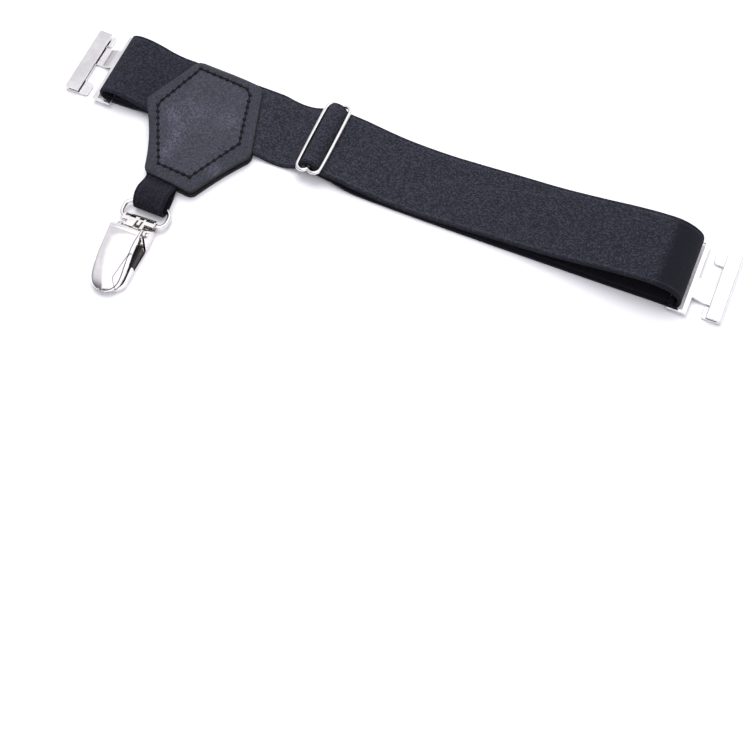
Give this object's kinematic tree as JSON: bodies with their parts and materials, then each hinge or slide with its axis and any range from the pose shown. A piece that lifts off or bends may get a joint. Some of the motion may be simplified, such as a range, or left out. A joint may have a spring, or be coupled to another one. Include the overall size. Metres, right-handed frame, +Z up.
{
  "type": "sock suspender",
  "caption": "Elastic calf band with a T shaped hook at each end and a length slider; a leather patch carries a short strap, a wire ring and a lever clip that grips the sock.",
  "frame": {"origin": "On the table, under the middle of the whole object's box.", "axes": "+X runs along the calf band from the left hook to the right hook, +Y points away from the clip, +Z is up from the table; the clip's tip points to -Y."},
  "size_m": [0.2714, 0.109, 0.013],
  "materials": {
    "webbing": "dark charcoal woven elastic",
    "leather": "dark slate, fine grain, half matt",
    "nickel": "bright nickel plate",
    "insert": "dark moulded tray"
  },
  "bodies": {
    "strap": {"calf_band": "webbing", "hook_loop": "webbing", "clip_strap": "webbing", "patch_front": "leather", "patch_back": "leather", "slider": "nickel", "left_hook": "nickel", "right_hook": "nickel", "ring": "nickel"},
    "clip": {"clip_base": "nickel", "jaw_insert": "insert", "hinge_pin": "nickel"},
    "cover": {"clip_cover": "nickel"}
  },
  "joints": [
    {"name": "clip_swing", "type": "hinge", "parent": "strap", "child": "clip", "pos_m": [-0.0794, -0.02243, 0.0024], "axis": [-0.999, -0.0436, 0], "range_deg": [-130, 80]},
    {"name": "cover_hinge", "type": "hinge", "parent": "clip", "child": "cover", "pos_m": [-0.07912, -0.02882, 0.006], "axis": [-0.999, -0.0436, 0], "range_deg": [0, 80]}
  ]
}
